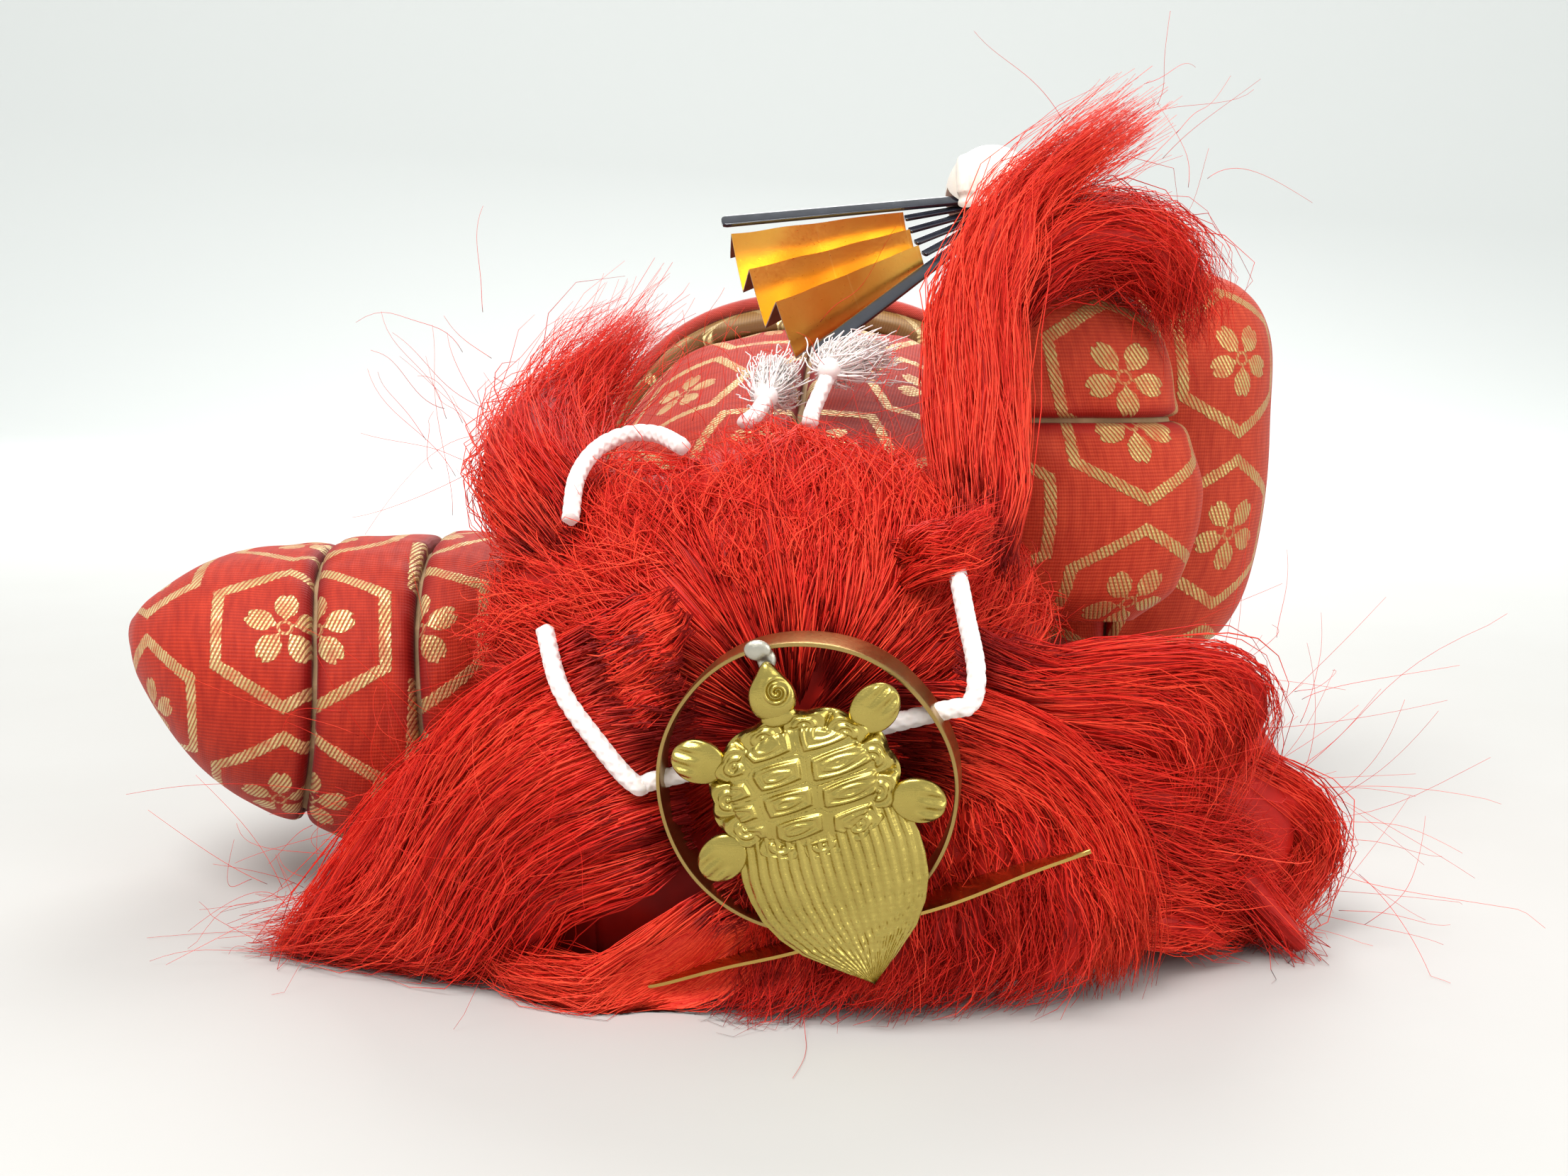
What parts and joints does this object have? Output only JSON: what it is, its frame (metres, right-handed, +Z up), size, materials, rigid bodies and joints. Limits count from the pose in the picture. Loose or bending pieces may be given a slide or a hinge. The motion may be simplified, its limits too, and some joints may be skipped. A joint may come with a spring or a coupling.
{
  "type": "dance doll",
  "caption": "Small cloth-covered doll of a dancer lying on its back, with a long red wig, a gilt turtle crown and a half-open gold fan.",
  "frame": {"origin": "on the table under the middle of the head, where the back hair rests", "axes": "+Z up from the table, +Y from the crown of the head towards the feet, +X towards the doll's right hand"},
  "size_m": [0.1411, 0.2078, 0.0922],
  "materials": {
    "core": "moulded wood paste, matt",
    "brocade": "orange-red silk brocade with gold thread",
    "sash": "gold brocade",
    "hair": "fine dyed red hair",
    "cap": "dark red net",
    "gofun": "polished white shell powder",
    "white_cloth": "white cotton",
    "red_cloth": "red silk",
    "gilt": "thin gilt sheet",
    "cord": "white braided silk",
    "lacquer": "black lacquer",
    "leaf": "gold-leafed paper",
    "wire": "plain"
  },
  "bodies": {
    "doll": {"back_hair_centre": "hair", "back_hair_left": "hair", "back_hair_right": "hair", "body_core": "core", "collar_red": "red_cloth", "collar_white": "white_cloth", "cord_crossing": "cord", "cord_fringe_loop": "cord", "cord_left_fall": "cord", "cord_left_stem": "cord", "cord_right_fall": "cord", "cord_right_stem": "cord", "crown_hair": "hair", "fringe": "hair", "head": "gofun", "left_foot": "white_cloth", "left_sleeve_core": "core", "left_sleeve_middle": "brocade", "left_sleeve_nose": "brocade", "left_sleeve_shoulder": "brocade", "neck_peg": "core", "right_foot": "white_cloth", "right_shoulder_core": "core", "right_shoulder_lower": "brocade", "right_shoulder_upper": "brocade", "right_sleeve_core": "core", "right_sleeve_inner": "brocade", "right_sleeve_outer": "brocade", "robe_back": "brocade", "robe_chest_left": "brocade", "robe_chest_right": "brocade", "sash": "sash", "sash_knot": "sash", "side_lock_arch": "hair", "side_lock_left": "hair", "side_lock_right": "hair", "skirt_back": "brocade", "skirt_front": "brocade", "skirt_left": "brocade", "skirt_right": "brocade", "tassel_left": "cord", "tassel_right": "cord", "wig_cap": "cap"},
    "crown": {"crown_hoop": "gilt", "turtle_plate": "gilt", "solder_tab": "gilt", "crown_blade": "gilt"},
    "right_fist": {"right_hand": "gofun", "right_hand_wire": "wire"},
    "fan": {"fan_guard_lower": "lacquer", "fan_guard_upper": "lacquer", "fan_leaf": "leaf", "fan_rib_1": "lacquer", "fan_rib_2": "lacquer", "fan_rib_3": "lacquer", "fan_rib_4": "lacquer", "fan_rivet": "wire"},
    "left_fist": {"left_hand": "gofun", "left_hand_wire": "wire"}
  },
  "joints": [
    {"name": "crown_swing", "type": "hinge", "parent": "doll", "child": "crown", "pos_m": [-0.01176, -0.0255, 0.0234], "axis": [-0.9509, 0.153, -0.2689], "range_deg": [-3, 15]},
    {"name": "right_fist_turn", "type": "hinge", "parent": "doll", "child": "right_fist", "pos_m": [0.0308, 0.05, 0.0809], "axis": [0.6157, 0.1207, -0.7787], "range_deg": [-12, 12]},
    {"name": "fan_turn", "type": "hinge", "parent": "right_fist", "child": "fan", "pos_m": [0.0255, 0.048, 0.0803], "axis": [-0.0733, -0.5751, 0.8148], "range_deg": [-10, 10]},
    {"name": "left_fist_turn", "type": "hinge", "parent": "doll", "child": "left_fist", "pos_m": [-0.06, 0.0515, 0.024], "axis": [0.1382, -0.9904, 0], "range_deg": [-20, 20]}
  ]
}
